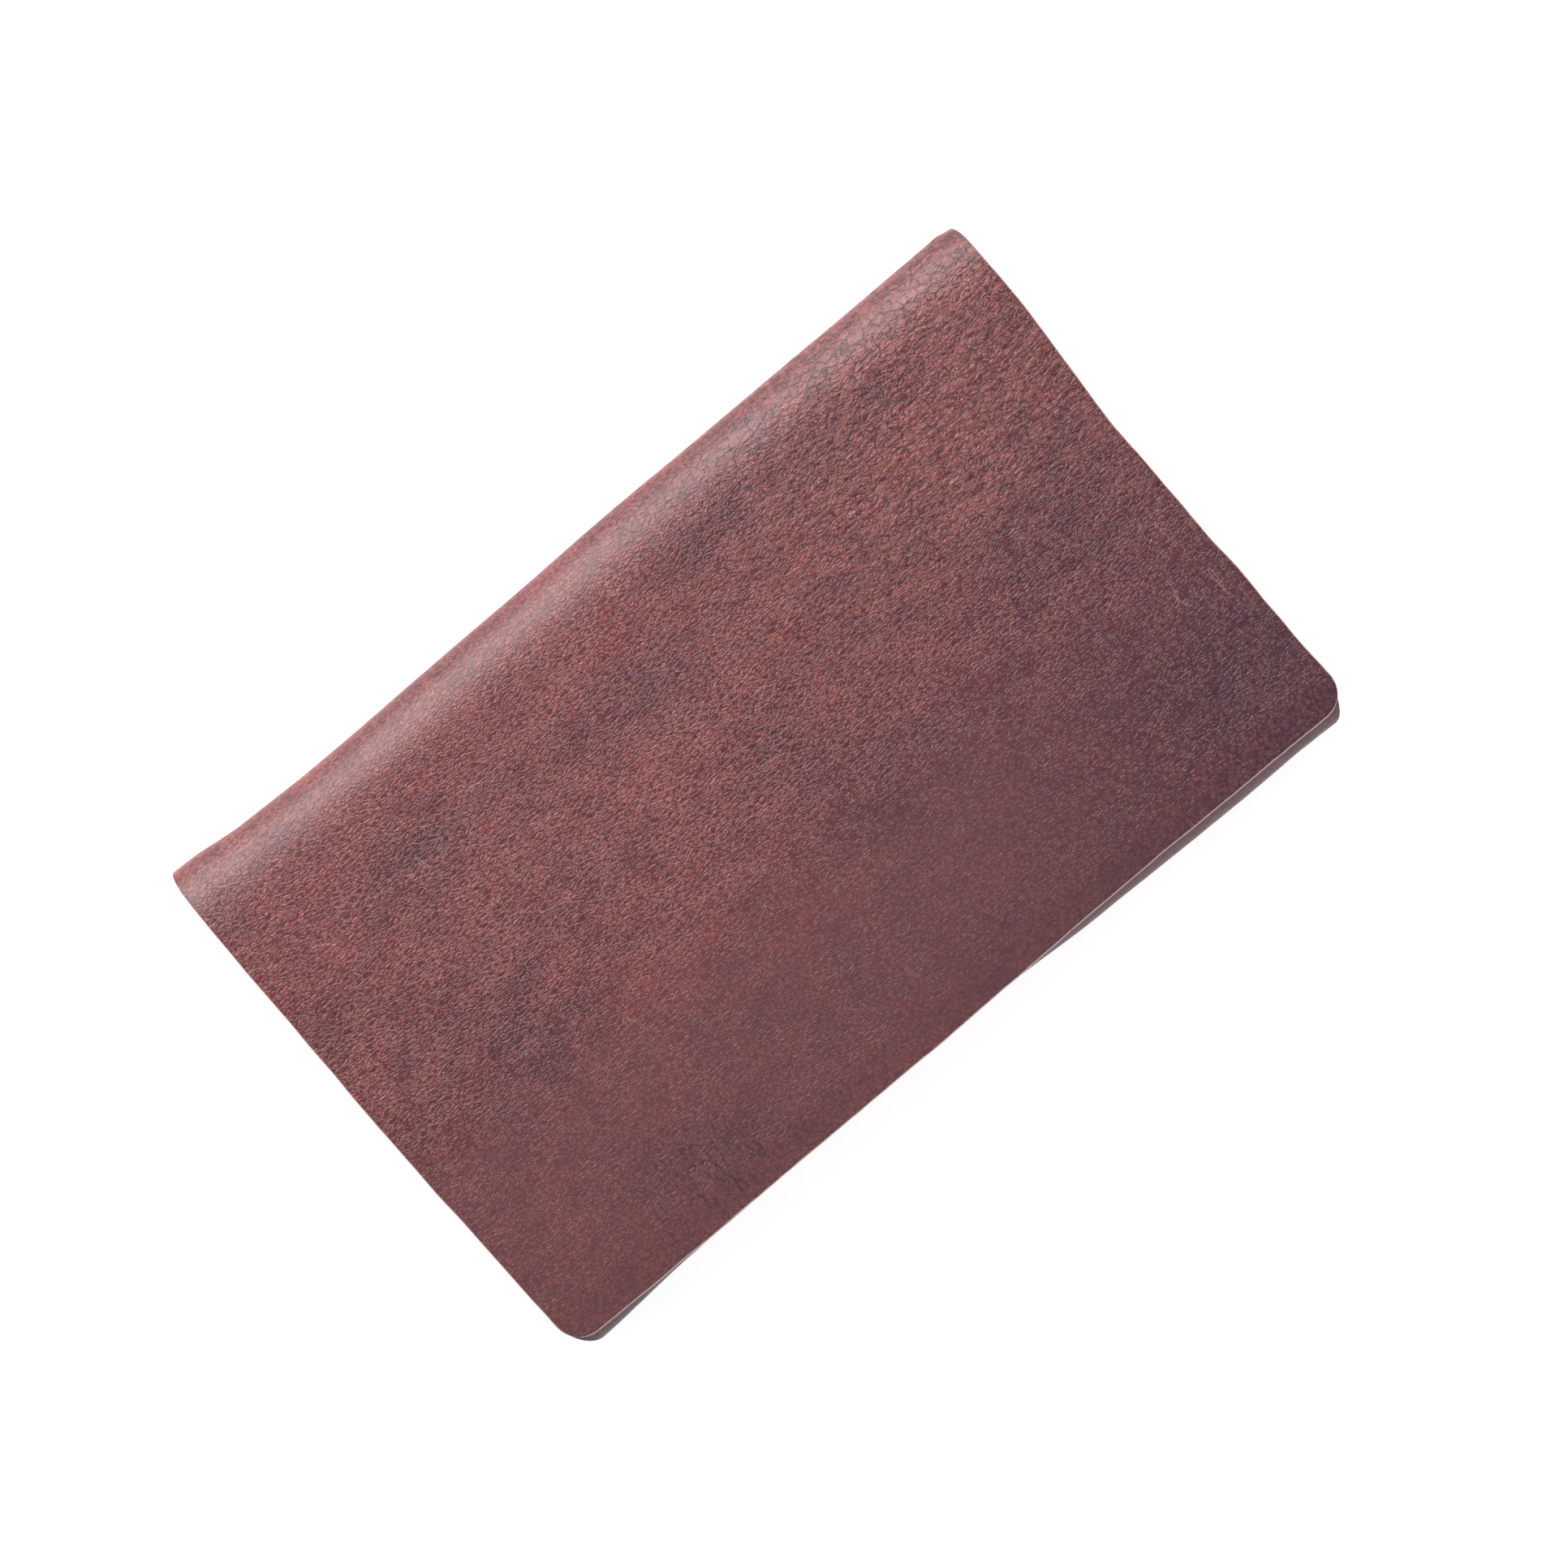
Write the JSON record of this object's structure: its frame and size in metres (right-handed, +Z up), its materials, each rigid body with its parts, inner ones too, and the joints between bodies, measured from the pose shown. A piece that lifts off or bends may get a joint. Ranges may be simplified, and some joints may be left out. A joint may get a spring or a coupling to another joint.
{
  "type": "trifold wallet",
  "caption": "Long trifold wallet in soft leather: a flap folds over a tucked front panel, with card slots and a zipped pocket inside.",
  "frame": {"origin": "middle of the face that the closed wallet lies on, at its lowest level", "axes": "+X along the folds, +Y from the bottom fold to the top fold, +Z up through the flap"},
  "size_m": [0.19, 0.116, 0.0129],
  "materials": {
    "shell_leather": "waxed full grain, soft sheen, raw cut edges",
    "pocket_leather": "thinner full grain, matt",
    "slot_leather": "skived full grain, matt",
    "zip_fabric": "woven polyester tape",
    "zip_metal": "antiqued brass",
    "sewing_thread": "waxed bonded thread"
  },
  "bodies": {
    "back": {"back_panel": "shell_leather", "pocket_wall": "pocket_leather", "card_slot_left_1": "slot_leather", "card_slot_left_2": "slot_leather", "card_slot_left_3": "slot_leather", "card_slot_right_1": "slot_leather", "card_slot_right_2": "slot_leather", "card_slot_right_3": "slot_leather", "zip_tape_lower": "zip_fabric", "zip_tape_upper": "zip_fabric", "zip_teeth_lower": "zip_metal", "zip_teeth_upper": "zip_metal", "zip_top_stop_lower": "zip_metal", "zip_top_stop_upper": "zip_metal", "zip_bottom_stop": "zip_metal", "pocket_stitching": "sewing_thread", "zip_stitching": "sewing_thread", "card_centre_stitching": "sewing_thread", "card_edge_stitching_left": "sewing_thread", "card_edge_stitching_right": "sewing_thread"},
    "top_spine": {"top_fold": "shell_leather"},
    "flap": {"flap_panel": "shell_leather"},
    "bottom_spine": {"bottom_fold": "shell_leather"},
    "front": {"front_panel": "shell_leather", "front_pocket_wall": "pocket_leather", "front_pocket_stitching": "sewing_thread"},
    "zip_slider": {"zip_slider": "zip_metal", "zip_pull": "zip_metal"}
  },
  "joints": [
    {"name": "top_fold_hinge", "type": "hinge", "parent": "back", "child": "top_spine", "pos_m": [0, 0.05607, 0.00193], "axis": [-1, 0, 0], "range_deg": [0, 90]},
    {"name": "flap_hinge", "type": "hinge", "parent": "top_spine", "child": "flap", "pos_m": [0, 0.05607, 0.01097], "axis": [-1, 0, 0], "range_deg": [0, 90]},
    {"name": "bottom_fold_hinge", "type": "hinge", "parent": "back", "child": "bottom_spine", "pos_m": [0, -0.05625, 0.00175], "axis": [1, 0, 0], "range_deg": [0, 90]},
    {"name": "front_panel_hinge", "type": "hinge", "parent": "bottom_spine", "child": "front", "pos_m": [0, -0.05625, 0.00945], "axis": [1, 0, 0], "range_deg": [0, 90]},
    {"name": "zip_slide", "type": "slide", "parent": "back", "child": "zip_slider", "axis": [1, 0, 0], "range_m": [-0.135, 0]}
  ],
  "couplings": [
    {"joint": "flap_hinge", "follows": "top_fold_hinge", "ratio": 1},
    {"joint": "bottom_fold_hinge", "follows": "top_fold_hinge", "ratio": 1},
    {"joint": "front_panel_hinge", "follows": "top_fold_hinge", "ratio": 1}
  ]
}
